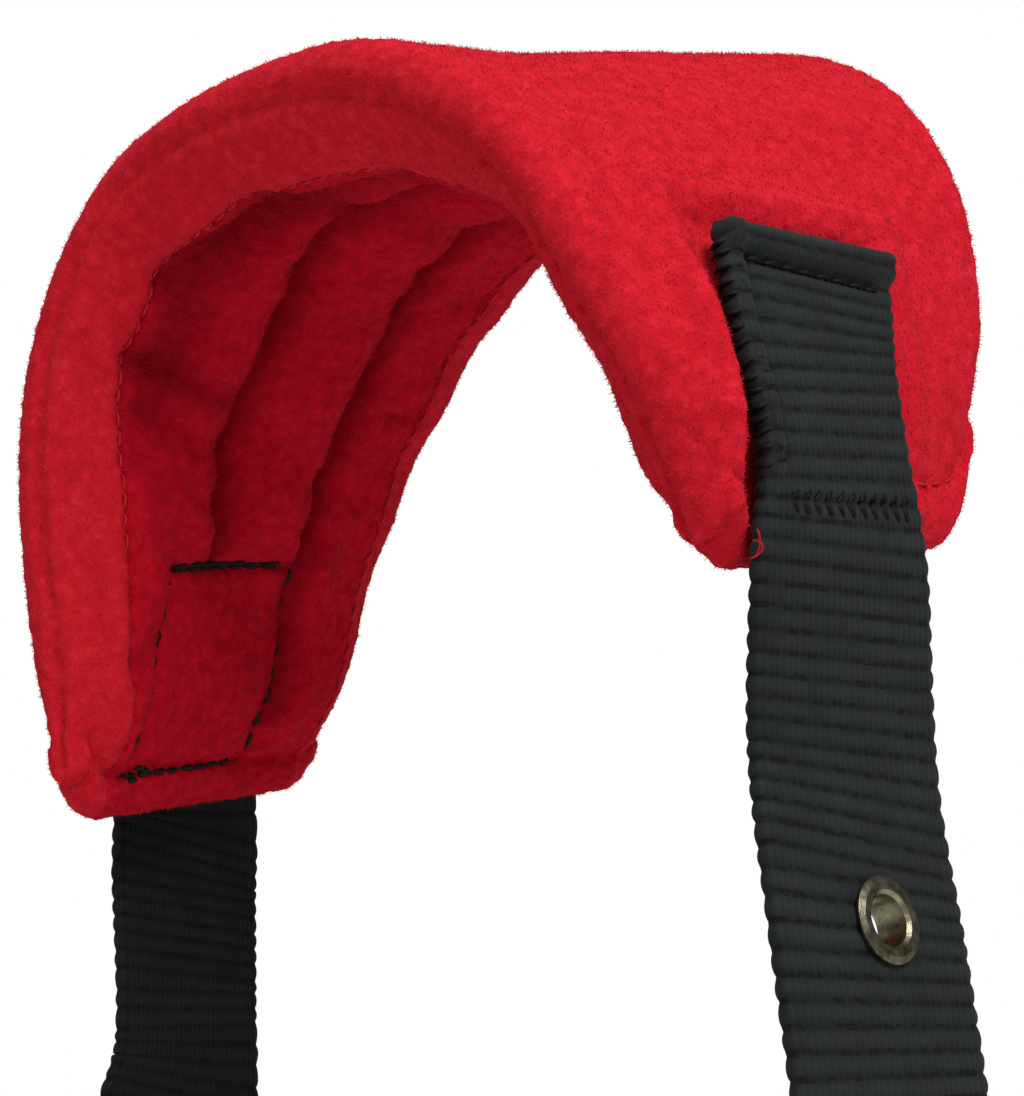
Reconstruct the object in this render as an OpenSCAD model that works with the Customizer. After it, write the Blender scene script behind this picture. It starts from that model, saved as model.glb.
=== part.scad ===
// Padded head halter for a large dog: a crown band with a buckled neck strap, and a nose loop
// hung from a throat ring. Millimetres, +Z up, -Y towards the nose, origin in the middle of
// the neck opening.

/* [Neck loop] */
// Distance between the two legs of the crown band
loop_w = 100; // [80:1:125]
// Height of the crown band above the middle of the neck
loop_rise = 80; // [66:1:100]
// Depth of the tongue bar of the buckle below the middle of the neck
buckle_drop = 66; // [58:1:80]

/* [Crown band] */
// Widest part of the padded band, front to back
pad_w = 60; // [48:1:72]
// Thickness of the padded band
pad_t = 9; // [7:0.5:12]
// Thickness of the fleece cloth
cloth_t = 1.8; // [1:0.1:2.5]
// Width of the rim that is turned in along each edge
rim_w = 7; // [5:0.5:10]

/* [Neck webbing] */
// Width of the neck webbing
web_w = 25; // [20:0.5:32]
// Thickness of the neck webbing
web_t = 1.8; // [1.2:0.1:2.4]
// Distance between two eyelets along the strap
eyelet_pitch = 24.5; // [18:0.5:32]

/* [Eyelets] */
// Radius of the hole in an eyelet
eyelet_r = 2.3; // [1.8:0.05:2.8]
// Radius of an eyelet's flange
flange_r = 3.9; // [3.5:0.1:5]
// Thickness of an eyelet's flange
flange_t = 0.5; // [0.3:0.05:0.8]

/* [Buckle] */
// Distance between the tongue bar and the roller bar
buckle_l = 22; // [20:0.5:28]
// Diameter of the buckle's wire
wire_d = 3; // [2.4:0.1:3.6]
// Outer diameter of the roller
roller_d = 5.2; // [4.6:0.1:6.5]
// Diameter of the tongue
tongue_d = 1.8; // [1.4:0.1:2.2]

/* [Rings] */
// Height of the throat ring between its two bars
ring_h = 14; // [12:0.5:20]
// Inner radius of the lead ring
lead_r = 9.5; // [8:0.5:14]

/* [Nose loop] */
// Width of the nose webbing
nose_w = 15; // [12:0.5:18]
// Thickness of the nose webbing
nose_t = 1.5; // [1:0.1:2]
// Width of the open part of the nose loop
nose_loop_w = 62; // [50:1:80]
// Length of the open part of the nose loop
nose_loop_l = 74; // [60:1:90]
// Thickness of the padded sleeve on each side of the nose webbing
sleeve_t = 2.6; // [1.5:0.1:4]

/* [Hidden] */
$fn = 40;

gap = 0.15;            // play between two pieces that lie on each other
run = 0.05;            // radial play of a piece that turns on a bar
wire_r = wire_d / 2;
roller_r = roller_d / 2;
tongue_r = tongue_d / 2;

// ---- vectors and curves ----
function unit(v) = v / norm(v);
function mix(a, b, k) = a * (1 - k) + b * k;
function catmull(a, b, c, d, t) =
    0.5 * (2*b + (c - a)*t + (2*a - 5*b + 4*c - d)*t*t + (3*b - a - 3*c + d)*t*t*t);
// Point at k (0 to len-1) on the smooth curve through the points p
function curve(p, k) =
    let (m = len(p) - 1, i = min(floor(k), m - 1))
    catmull(i > 0 ? p[i-1] : 2*p[0] - p[1], p[i], p[i+1],
            i + 2 <= m ? p[i+2] : 2*p[m] - p[m-1], k - i);

// Solid through a list of rings. A ring runs out along one side and back along the other, with
// as many points on each, so that strips between the two sides close both ends
module skin(rings) {
    m = len(rings[0]);
    n = len(rings);
    sides = [for (i = [0 : n-2]) for (j = [0 : m-1]) each
        let (a = i*m + j, b = i*m + (j + 1)%m) [[a, b, b + m], [a, b + m, a + m]]];
    far_end = (n - 1)*m;
    caps = [for (j = [0 : m/2 - 2]) each
        let (a = j, b = j + 1, c = m - 2 - j, d = m - 1 - j)
        [[a, d, c], [a, c, b], [far_end + a, far_end + c, far_end + d],
         [far_end + a, far_end + b, far_end + c]]];
    polyhedron([for (r = rings) each r], concat(sides, caps), convexity = 10);
}

// ---- the crown band: a bent surface between its near and far edges ----
// Points of the two edges at a leg distance of 100, a width of 60 and a rise of 80
near_edge = [[-38.5, -21, 3], [-40.5, -26, 18], [-41, -29, 38], [-37, -30, 56], [-25, -30, 69.5],
             [-4, -30, 74], [16, -30, 71], [32, -29.5, 61], [41, -28, 48], [47, -25, 36],
             [50.5, -21, 25]];
far_edge = [[-54, 20, 8], [-52, 24, 22], [-46, 28, 42], [-36, 30, 58], [-22, 30, 71],
            [-2, 30, 79.5], [18, 30, 82.5], [33, 29, 78], [42.5, 28, 65], [45, 25, 50],
            [45, 21, 32]];
band_size = [loop_w / 100, pad_w / 60, loop_rise / 80];
function sized(p) = [p[0]*band_size[0], p[1]*band_size[1], p[2]*band_size[2]];
near_pts = [for (p = near_edge) sized(p)];
far_pts = [for (p = far_edge) sized(p)];
last = len(near_edge) - 1;
function near_at(u) = curve(near_pts, u * last);
function far_at(u) = curve(far_pts, u * last);
function mid_at(u, v) = mix(near_at(u), far_at(u), v);
function out_at(u, v) =
    let (e = 0.004, a = max(u - e, 0), b = min(u + e, 1))
    unit(cross(mid_at(b, v) - mid_at(a, v), far_at(u) - near_at(u)));
// u runs along the band, v across it, h out from its middle
function band(u, v, h) = mid_at(u, v) + out_at(u, v)*h;

half_t = pad_t / 2;
rim_v = rim_w / pad_w;
wall_v = cloth_t / pad_w;
seam_near_v = 0.40;    // the two sewn seams that part the lining into three channels
seam_far_v = 0.74;
band_steps = 48;

function flipped(p) = [for (k = [len(p)-1 : -1 : 0]) p[k]];

// Solid of one outline in v and h, carried along the band from u0 to u1
module along_band(outline, u0 = 0, u1 = 1, steps = band_steps) {
    skin([for (i = [0 : steps])
        let (u = mix(u0, u1, i / steps)) [for (q = flipped(outline)) band(u, q[0], q[1])]]);
}
function slab(v0, v1, h0, h1) = [[v0, h0], [v1, h0], [v1, h1], [v0, h1]];

// Outer fleece, with its edges turned in round the foam
module pad_cover() {
    t = half_t;
    i = half_t - cloth_t;
    w = wall_v;
    soft = 1.4 / pad_w;
    inner_soft = 0.4 / pad_w;
    half_out = [[rim_v, -t], [soft, -t], [0, -t + 1.4], [0, t - 1.4], [soft, t], [0.25, t]];
    half_in = [[rim_v, -i], [w + inner_soft, -i], [w, -i + 0.4], [w, i - 0.4],
               [w + inner_soft, i], [0.25, i]];
    out_side = concat(half_out, [[0.5, t]], flipped(across_mirror(half_out)));
    in_side = concat(half_in, [[0.5, i]], flipped(across_mirror(half_in)));
    color("#c8202f") along_band(concat(in_side, flipped(out_side)));
}
function across_mirror(p) = [for (q = p) [1 - q[0], q[1]]];

// Height of the lining's inner face: a low arch over each of the three channels
function puff(v, v0, v1) = 1.5 * sqrt(max(0, sin(180 * (v - v0) / (v1 - v0))));
lining_v0 = rim_v + gap / pad_w;
lining_v1 = 1 - rim_v - gap / pad_w;
function channel(v0, v1, first) =
    [for (k = [first : 6]) let (v = mix(v0, v1, k / 6)) [v, -half_t - puff(v, v0, v1)]];

// Fleece lining, sewn through to the outer cloth along two seams and turned up at both ends
module pad_lining() {
    face = concat(channel(lining_v0, seam_near_v, 0), channel(seam_near_v, seam_far_v, 1),
                  channel(seam_far_v, lining_v1, 1));
    low = -half_t + cloth_t - gap;
    high = half_t - cloth_t - gap;
    us = concat([0.002, 0.012], [for (k = [0 : band_steps]) mix(0.013, 0.987, k / band_steps)],
                [0.988, 0.998]);
    color("#9a1226") skin([for (u = us)
        let (back = u > 0.0125 && u < 0.9875 ? low : high,
             outline = concat(face, [for (q = flipped(face)) [q[0], back]]))
        [for (q = flipped(outline)) band(u, q[0], q[1])]]);
}

// Foam strip in one channel
module foam(v0, v1) {
    h = half_t - cloth_t - 2*gap;
    color("#e6e2d6") along_band(slab(v0, v1, -h, h), 0.018, 0.982, 40);
}
foam_v0 = wall_v + 2*gap / pad_w;
seam_gap = 0.8 / pad_w;
module foam_near() { foam(foam_v0, seam_near_v - seam_gap); }
module foam_middle() { foam(seam_near_v + seam_gap, seam_far_v - seam_gap); }
module foam_far() { foam(seam_far_v + seam_gap, 1 - foam_v0); }

// ---- flat straps: each station is [middle point, direction across] ----
function across(s) = unit(s[1]);
function heading(st, i) =
    unit(st[min(i + 1, len(st) - 1)][0] - st[max(i - 1, 0)][0]);
function face_out(st, i) = unit(cross(across(st[i]), heading(st, i)));
function strap_ring(st, i, w, t) =
    let (c = st[i][0], n = face_out(st, i), x = unit(cross(heading(st, i), n)))
    [c - x*w/2 - n*t/2, c + x*w/2 - n*t/2, c + x*w/2 + n*t/2, c - x*w/2 + n*t/2];
module ribbon(st, w, t) { skin([for (i = [0 : len(st)-1]) strap_ring(st, i, w, t)]); }
function stations(mids, dirs, per) =
    [for (k = [0 : (len(mids) - 1)*per]) [curve(mids, k / per), curve(dirs, k / per)]];

// A strap lies on the band between two (u, v) places, its near and its far edge
ride_h = half_t + 2*gap + web_t/2;
function on_band(a, b, lift = 0) =
    let (p = band(a[0], a[1], ride_h + lift), q = band(b[0], b[1], ride_h + lift))
    [(p + q)/2, unit(q - p)];

// ---- the buckle stands on a straight run at the lower left of the loop ----
run_angle = 50;
bar_x = -0.27 * loop_w;
bar_z = -buckle_drop;
// A place in the run: x along the strap from the tongue bar to the roller, z towards the neck
function in_run(x, z) = [bar_x + x*cos(run_angle) + z*sin(run_angle), 0,
                         bar_z - x*sin(run_angle) + z*cos(run_angle)];
module at_run(x = 0, z = 0) { translate(in_run(x, z)) rotate([0, run_angle, 0]) children(); }

layer = web_t/2 + gap/2;                 // half the distance between two sewn layers
fold_r = wire_r + gap + web_t/2;         // the fold round the tongue bar
lean = 1.1;                              // more room where the tail crosses a bar aslant
under_z = -(fold_r + web_t + gap)*lean;  // the tail where it crosses the fold
tail_z = -(layer + web_t + gap);         // the tail where it lies on the sewn end
roller_z = (roller_r + gap + web_t/2)*lean;
run_l = 36;                              // straight length behind the tongue bar
leg_x = -0.51 * loop_w;

// Strap that carries the buckle: sewn on the left leg, folded round the tongue bar
left_on_pad = [on_band([0.185, 0.31], [0.175, 0.77], 0.2), on_band([0.12, 0.295], [0.12, 0.79], 0.5),
               on_band([0.06, 0.31], [0.06, 0.84], 1.3)];
fold = [for (a = [75 : -30 : -75]) in_run(fold_r*cos(a), fold_r*sin(a))];
left_mids = concat([for (s = left_on_pad) s[0]],
    [[leg_x - 5.2, 5.0, 4], [leg_x - 3.6, 3.8, -6], [leg_x - 1, 1.9, -19],
     [leg_x - 0.2, 1.3, -28],
     in_run(-run_l, layer), in_run(-run_l*0.6, layer), in_run(-9, layer), in_run(-2.6, fold_r*0.9)], fold,
    [in_run(-2.6, -fold_r*0.9), in_run(-9, -layer), in_run(-run_l*0.6, -layer),
     in_run(-run_l + 2, -layer)]);
left_dirs = concat([for (s = left_on_pad) s[1]],
    [[-0.18, 1, 0.03], [-0.15, 1, 0], [-0.14, 1, 0], [-0.12, 1, 0]],
    [for (k = [1 : 4 + len(fold) + 4]) [0, 1, 0]]);
left_st = stations(left_mids, left_dirs, 3);
tongue_slot_w = tongue_d + 3.2;

module strap_buckle() {
    color("#141617") difference() {
        ribbon(left_st, web_w, web_t);
        at_run(fold_r - 3, 0) translate([0, -tongue_slot_w/2, -fold_r - web_t])
            cube([8, tongue_slot_w, 2*(fold_r + web_t)]);
        at_run(-3, 0) translate([0, -tongue_slot_w/2, -fold_r - web_t])
            cube([6, tongue_slot_w, 2*(fold_r + web_t)]);
    }
}

// Strap with the eyelets: sewn on the right leg, round under the throat, through the buckle
right_on_pad = [on_band([0.78, 0.20], [0.84, 0.64], 0.7), on_band([0.86, 0.17], [0.90, 0.655], 0.3),
                on_band([0.93, 0.135], [0.95, 0.67]), on_band([1, 0.09], [1, 0.68])];
kx = loop_w / 100;
kz = buckle_drop / 66;
slope = (roller_z - under_z) / buckle_l;
right_free = [[54.1*kx, -6.3, 6], [58.6*kx, -8.5, -10*kz], [62*kx, -9.6, -28*kz],
              [62*kx, -9.2, -46*kz], [56*kx, -7.4, -62*kz], [44*kx, -4.6, -75*kz]];
low_x = 10*kx;
low_z = in_run(buckle_l, roller_z)[2] - 7.6;
right_low = [[29*kx, -1.8, mix(low_z, -75*kz, 0.28)], [low_x + 7, 0, low_z + 0.3],
             [low_x - 2, 0, low_z + 0.3]];
right_run = [in_run(buckle_l, roller_z), in_run(buckle_l*0.5, mix(under_z, roller_z, 0.5)),
             in_run(0, under_z), in_run(-8.5, tail_z), in_run(-run_l*0.6, tail_z),
             in_run(-run_l, tail_z), in_run(-run_l - 6, tail_z + 0.9)];
right_mids = concat([for (s = right_on_pad) s[0]], right_free, right_low, right_run);
right_dirs = concat([for (s = right_on_pad) s[1]],
    [[0.06, 1, -0.10], [0.08, 1, -0.12], [0.06, 1, -0.10], [0.04, 1, 0], [0.02, 1, 0.08],
     [0, 1, 0.1], [0, 1, 0.05]], [for (k = [1 : 9]) [0, 1, 0]]);
right_per = 6;
right_st = stations(right_mids, right_dirs, right_per);

// Distance along the strap to each station, and the station at a distance
function running(st, i = 0, s = 0) =
    i == len(st) - 1 ? [s] : concat([s], running(st, i + 1, s + norm(st[i+1][0] - st[i][0])));
right_s = running(right_st);
function index_at(s) = max([for (i = [0 : len(right_s)-2]) right_s[i] <= s ? i : 0]);
function frame_at(s) =
    let (i = index_at(s), k = (s - right_s[i]) / (right_s[i+1] - right_s[i]),
         c = mix(right_st[i][0], right_st[i+1][0], k),
         h = unit(right_st[i+1][0] - right_st[i][0]),
         n = unit(cross(h, mix(right_st[i][1], right_st[i+1][1], k))))
    [c, unit(cross(n, h)), h, n];
module at_strap(s, side = 0) {
    f = frame_at(s);
    x = f[1];
    y = cross(f[3], f[1]);
    n = f[3];
    p = f[0] + x*side;
    multmatrix([[x[0], y[0], n[0], p[0]], [x[1], y[1], n[1], p[1]], [x[2], y[2], n[2], p[2]],
                [0, 0, 0, 1]]) children();
}

// The tongue goes square through the strap between the two bars
tongue_z = -(roller_r + tongue_r + 2*run);
cross_x = 0.4 * buckle_l;
cross_z = under_z + slope*cross_x;
run_station = (len(right_on_pad) + len(right_free) + len(right_low)) * right_per;
cross_s = right_s[run_station] + (buckle_l - cross_x) / cos(atan(slope));
first_s = right_s[(len(right_on_pad) - 1)*right_per] + 28;
eyelet_count = floor((cross_s - first_s) / eyelet_pitch) + 1;
function eyelet_s(k) = cross_s - k*eyelet_pitch;
// The row is set a little aslant, so the eyelet nearest the band is off the middle
row_slant = 1.2;
function eyelet_side(k) = row_slant * k / (eyelet_count - 1);
barrel_r = eyelet_r + 0.45;
hole_r = barrel_r + gap;
face_z = web_t/2 + 0.3;  // a flange stands a little off the strap, which is bent under it

module strap_holes() {
    color("#26282a") difference() {
        ribbon(right_st, web_w, web_t);
        for (k = [0 : eyelet_count-1])
            at_strap(eyelet_s(k), eyelet_side(k)) cylinder(r = hole_r, h = 4*web_t, center = true);
        tip_cut();
    }
}
// The two corners that are cut from the tip of the tail
tip_l = 6;
module tip_cut() {
    s = right_s[len(right_s)-1];
    for (m = [-1, 1]) at_strap(s - tip_l) translate([m*web_w/2, 0, 0]) rotate([0, 0, m*-38])
        translate([m > 0 ? 0 : -12, -4, -4]) cube([12, 20, 8]);
}

// Flanged barrels pressed from sheet brass, plated dark nickel
module eyelets() {
    color("#6e6a5a") for (k = [0 : eyelet_count-1])
        at_strap(eyelet_s(k), eyelet_side(k)) rotate_extrude($fn = 48)
            polygon([[eyelet_r, -face_z - flange_t - 0.2], [barrel_r, -face_z - flange_t - 0.2],
                     [barrel_r, face_z], [flange_r, face_z], [flange_r, face_z + flange_t*0.5],
                     [flange_r - 0.6, face_z + flange_t], [eyelet_r + 0.35, face_z + flange_t],
                     [eyelet_r, face_z + flange_t*0.4]]);
}
module eyelet_washers() {
    color("#6e6a5a") for (k = [0 : eyelet_count-1])
        at_strap(eyelet_s(k), eyelet_side(k)) translate([0, 0, -face_z - flange_t])
            difference() {
                cylinder(r = flange_r - 0.2, h = flange_t);
                translate([0, 0, -1]) cylinder(r = barrel_r + 0.02, h = flange_t + 2);
            }
}

// ---- buckle ----
side_y = web_w/2 + 1 + wire_r;
corner_r = 3;
// Closed loop of round wire in the x-y plane, with its bars at x = 0 and x = l
module wire_loop(l, y, r, c) {
    for (s = [-1, 1]) translate([c, s*y, 0]) rotate([0, 90, 0]) cylinder(r = r, h = l - 2*c);
    for (x = [0, l]) translate([x, -y + c, 0]) rotate([-90, 0, 0]) cylinder(r = r, h = 2*(y - c));
    for (q = [[l - c, y - c, 0], [c, y - c, 90], [c, -y + c, 180], [l - c, -y + c, 270]])
        translate([q[0], q[1], 0]) rotate([0, 0, q[2]])
            rotate_extrude(angle = 90) translate([c, 0]) circle(r = r);
}
module buckle_frame() {
    color("#7d7a70") at_run() wire_loop(buckle_l, side_y, wire_r, corner_r);
}
roller_l = 2*(side_y - corner_r) - 1;
module buckle_roller() {
    color("#8a877d") at_run(buckle_l) rotate([90, 0, 0]) difference() {
        cylinder(r = roller_r, h = roller_l, center = true);
        cylinder(r = wire_r + run, h = roller_l + 2, center = true);
    }
}
eye_r = wire_r + run + 0.9;
eye_w = 3.2;
// Bent bar: from the eye in behind the strap, square out through the eyelet, onto the roller
strap_out = [sin(atan(slope)), -cos(atan(slope))];
cross_pt = [cross_x, cross_z];
inner_bend = cross_pt - strap_out*3.3;
outer_bend = cross_pt + strap_out*3.1;
soften = 0.9;            // the two bends are cut across this far from their corners
tongue_path = [[wire_r + run + 0.45, 0.3],
               inner_bend - unit(inner_bend)*soften, inner_bend + strap_out*soften,
               outer_bend - strap_out*soften,
               outer_bend + unit([buckle_l, tongue_z] - outer_bend)*soften,
               [buckle_l, tongue_z], [buckle_l + 1.6, tongue_z + 0.2]];
function way(p, i) = unit(p[i+1] - p[i]);
function left_of(d) = [-d[1], d[0]];
// Sideways step at point i that keeps both neighbouring edges a distance of 1 away
function step_at(p, i) =
    let (n = len(p) - 1, a = way(p, max(i - 1, 0)), b = way(p, min(i, n - 1)))
    left_of(unit(a + b)) / (unit(a + b) * b);
// Bar of thickness 2r and width w along the points p of the x-z plane
module bent_bar(p, r, w) {
    n = len(p) - 1;
    rotate([90, 0, 0]) translate([0, 0, -w/2]) linear_extrude(height = w)
        polygon(concat([for (i = [0 : n]) p[i] + step_at(p, i)*r],
                       [for (i = [n : -1 : 0]) p[i] - step_at(p, i)*r]));
}
module buckle_tongue() {
    color("#7d7a70") at_run() {
        rotate([90, 0, 0]) difference() {
            cylinder(r = eye_r, h = eye_w, center = true);
            cylinder(r = wire_r + run, h = eye_w + 2, center = true);
        }
        bent_bar(tongue_path, tongue_r, tongue_d);
    }
}

// ---- keepers: short loops that hold the tail down ----
keeper_t = 1.2;
keeper_l = 7;
keeper_y = web_w/2 + 0.4;
keeper_top = layer + web_t/2 + gap;
keeper_low = tail_z - web_t/2 - gap;
module keeper(x) {
    at_run(x) difference() {
        translate([-keeper_l/2, -keeper_y - keeper_t, keeper_low - keeper_t])
            cube([keeper_l, 2*(keeper_y + keeper_t), keeper_top - keeper_low + 2*keeper_t]);
        translate([-keeper_l, -keeper_y, keeper_low])
            cube([2*keeper_l, 2*keeper_y, keeper_top - keeper_low]);
    }
}
keeper_fixed_x = -12.8;
keeper_slide_x = -25;
module fixed_keeper() { color("#17191a") keeper(keeper_fixed_x); }
module sliding_keeper() { color("#17191a") keeper(keeper_slide_x); }

// ---- throat ring, lead ring and nose loop ----
ring_x = low_x + 2;
strap_low_z = low_z + 0.3;
ring_z = strap_low_z + web_t/2 + gap + wire_r;     // upper bar, on the inner face of the strap
hang_z = ring_z - ring_h;                          // lower bar
module throat_ring() {
    color("#7d7a70") translate([ring_x, 0, ring_z]) rotate([0, 90, 0])
        wire_loop(ring_h, side_y, wire_r, corner_r);
}
lead_y = 8;
lead_mid_r = lead_r + wire_r;
lead_z = hang_z - (lead_r - wire_r - run);
module lead_ring() {
    color("#7d7a70") translate([ring_x, lead_y, lead_z]) rotate([90, 0, 0])
        rotate_extrude($fn = 64) translate([lead_mid_r, 0]) circle(r = wire_r);
}

nose_y = lead_y - wire_r - 2 - nose_w/2;
bend_r = wire_r + gap + nose_t/2;
leg_l = 30;
open_z = hang_z - leg_l;
function nose_pt(x, z) = [ring_x + x, nose_y, z];
// Half of the loop, from the bar down to its lowest point
nose_half = concat([for (a = [0 : 30 : 60]) nose_pt(bend_r*sin(a), hang_z + bend_r*cos(a))],
    [for (z = [2, 8, 16, 24, leg_l - 3]) nose_pt(bend_r, hang_z - z)],
    [for (a = [64, 36, 8, -20, -48, -74])
        nose_pt(nose_loop_w/2 * cos(a), open_z - nose_loop_l/2 - 2 + nose_loop_l/2 * sin(a))],
    [nose_pt(0, open_z - nose_loop_l - 2)]);
function flip(p) = [2*ring_x - p[0], p[1], p[2]];
nose_mids = concat(nose_half, [for (i = [len(nose_half)-2 : -1 : 0]) flip(nose_half[i])]);
nose_dirs = [for (p = nose_mids) [0, 1, 0]];
nose_st = stations(nose_mids, nose_dirs, 4);
module nose_strap() { color("#17191a") ribbon(nose_st, nose_w, nose_t); }

// Fleece sleeve over the part of the nose loop that lies on the muzzle
sleeve_from = 11.0;
sleeve_to = 2*(len(nose_half) - 1) - sleeve_from;
sleeve_w = nose_w + 7;
sleeve_st = [for (k = [sleeve_from*4 : sleeve_to*4]) [curve(nose_mids, k/4), [0, 1, 0]]];
module nose_sleeve() {
    color("#c8202f") difference() {
        ribbon(sleeve_st, sleeve_w, nose_t + 2*gap + 2*sleeve_t);
        ribbon([for (k = [sleeve_from*4 - 1 : sleeve_to*4 + 1]) [curve(nose_mids, k/4), [0, 1, 0]]],
               nose_w + 2*gap, nose_t + 2*gap);
    }
}

// Moulded slide that pinches the two legs of the nose loop together
slide_h = 8;
slide_wall = 1.6;
slide_z = hang_z - 14;
module nose_slide() {
    w = nose_w + 0.6;
    s = nose_t + 2*gap;
    x = bend_r + s/2 + slide_wall;
    color("#1c1e20") translate([ring_x, nose_y, slide_z]) difference() {
        translate([-x, -w/2 - slide_wall, -slide_h/2]) cube([2*x, w + 2*slide_wall, slide_h]);
        for (m = [-1, 1]) translate([m*bend_r - s/2, -w/2, -slide_h]) cube([s, w, 2*slide_h]);
    }
}

pad_cover();
pad_lining();
foam_near();
foam_middle();
foam_far();
strap_buckle();
strap_holes();
eyelets();
eyelet_washers();
buckle_frame();
buckle_roller();
buckle_tongue();
fixed_keeper();
sliding_keeper();
throat_ring();
lead_ring();
nose_strap();
nose_sleeve();
nose_slide();
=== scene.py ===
import math
import bpy
import numpy as np
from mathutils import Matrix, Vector, noise


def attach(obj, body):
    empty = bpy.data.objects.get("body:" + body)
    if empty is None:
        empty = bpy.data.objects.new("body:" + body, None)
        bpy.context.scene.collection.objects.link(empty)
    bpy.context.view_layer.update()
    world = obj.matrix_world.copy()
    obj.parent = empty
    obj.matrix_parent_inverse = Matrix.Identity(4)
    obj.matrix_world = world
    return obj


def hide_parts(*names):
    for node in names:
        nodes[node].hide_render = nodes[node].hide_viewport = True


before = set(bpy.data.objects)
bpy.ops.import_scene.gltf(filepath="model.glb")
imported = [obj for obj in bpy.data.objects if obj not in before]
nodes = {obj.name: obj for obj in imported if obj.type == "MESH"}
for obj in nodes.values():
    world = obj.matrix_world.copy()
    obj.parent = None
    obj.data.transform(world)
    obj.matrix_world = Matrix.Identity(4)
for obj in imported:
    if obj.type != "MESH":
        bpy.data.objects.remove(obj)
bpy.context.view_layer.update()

# ---------------------------------------------------------------- camera and studio
# The camera stands low in front of the band, looks up a little and sees it from the eyelet side.
scene = bpy.context.scene
bpy.ops.object.select_all(action="DESELECT")
bpy.ops.object.camera_add(location=(0.178, -0.1715, 0.0))
camera = bpy.context.object
camera.name = "camera"
azimuth, rise = math.radians(45), math.radians(7)
forward = Vector((-math.sin(azimuth) * math.cos(rise), math.cos(azimuth) * math.cos(rise), math.sin(rise)))
camera.rotation_euler = forward.to_track_quat("-Z", "Y").to_euler()
camera.data.lens = 75.5
camera.data.clip_start = 0.01
scene.camera = camera


def lamp(name, place, target, size, power):
    bpy.ops.object.light_add(type="AREA", location=place)
    light = bpy.context.object
    light.name = name
    light.data.shape = "DISK"
    light.data.size = size
    light.data.energy = power
    light.rotation_euler = (Vector(target) - Vector(place)).to_track_quat("-Z", "Y").to_euler()


lamp("key_light", (0.95, -0.25, 0.90), (0, 0, 0.02), 0.6, 13.0)
lamp("front_light", (-0.45, -1.05, 0.65), (0, 0, 0.02), 0.5, 1.8)
lamp("side_light", (0.80, -0.65, 0.35), (-0.03, 0, 0.01), 0.4, 0.9)
lamp("top_light", (-0.10, -0.20, 1.25), (0, 0, 0.02), 0.8, 5.0)

world = bpy.data.worlds.new("studio")
scene.world = world
world.use_nodes = True
tree = world.node_tree
tree.nodes.clear()
seen = tree.nodes.new("ShaderNodeBackground")
seen.inputs["Color"].default_value = (1, 1, 1, 1)
seen.inputs["Strength"].default_value = 1.0
around = tree.nodes.new("ShaderNodeBackground")
around.inputs["Color"].default_value = (1, 1, 1, 1)
around.inputs["Strength"].default_value = 0.175
path = tree.nodes.new("ShaderNodeLightPath")
choose = tree.nodes.new("ShaderNodeMixShader")
out = tree.nodes.new("ShaderNodeOutputWorld")
tree.links.new(path.outputs["Is Camera Ray"], choose.inputs[0])
tree.links.new(around.outputs[0], choose.inputs[1])
tree.links.new(seen.outputs[0], choose.inputs[2])
tree.links.new(choose.outputs[0], out.inputs[0])
scene.view_settings.view_transform = "Standard"


def colour(code):
    """Linear colour from an sRGB hex code."""
    rgb = [int(code[i:i + 2], 16) / 255 for i in (0, 2, 4)]
    return [c / 12.92 if c <= 0.04045 else ((c + 0.055) / 1.055) ** 2.4 for c in rgb] + [1.0]


class Material:
    """A node material; add() puts in one node with its settings and links."""

    def __init__(self, name, **settings):
        self.data = bpy.data.materials.new(name)
        self.data.use_nodes = True
        self.tree = self.data.node_tree
        self.tree.nodes.clear()
        self.shader = self.add("ShaderNodeBsdfPrincipled", **settings)
        self.add("ShaderNodeOutputMaterial", Surface=self.shader.outputs[0])

    def add(self, kind, numbers=None, **settings):
        node = self.tree.nodes.new(kind)
        for key, value in settings.items():
            if hasattr(node, key) and not isinstance(value, bpy.types.NodeSocket) and key not in node.inputs:
                setattr(node, key, value)
            else:
                self.set(node, key.replace("_", " ") if key not in node.inputs else key, value)
        for index, value in (numbers or {}).items():
            self.set(node, index, value)
        return node

    def set(self, node, key, value):
        if isinstance(value, bpy.types.NodeSocket):
            self.tree.links.new(value, node.inputs[key])
        else:
            node.inputs[key].default_value = value

    def maths(self, operation, a, b=0.0, c=0.0):
        return self.add("ShaderNodeMath", {0: a, 1: b, 2: c}, operation=operation).outputs[0]

    def ramp(self, factor, stops):
        node = self.add("ShaderNodeValToRGB", {0: factor})
        while len(node.color_ramp.elements) < len(stops):
            node.color_ramp.elements.new(0.5)
        for element, (place, code) in zip(node.color_ramp.elements, stops):
            element.position = place
            element.color = colour(code)
        return node.outputs[0]


# The floor is a plain pale sheet under the lowest point of the nose loop.
bpy.ops.mesh.primitive_plane_add(size=2.4, location=(0, 0, -0.235))
floor = bpy.context.object
floor.name = "floor"
pale = Material("pale_floor", Base_Color=colour("F4F4F2"), Roughness=0.8)
floor.data.materials.append(pale.data)

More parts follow.
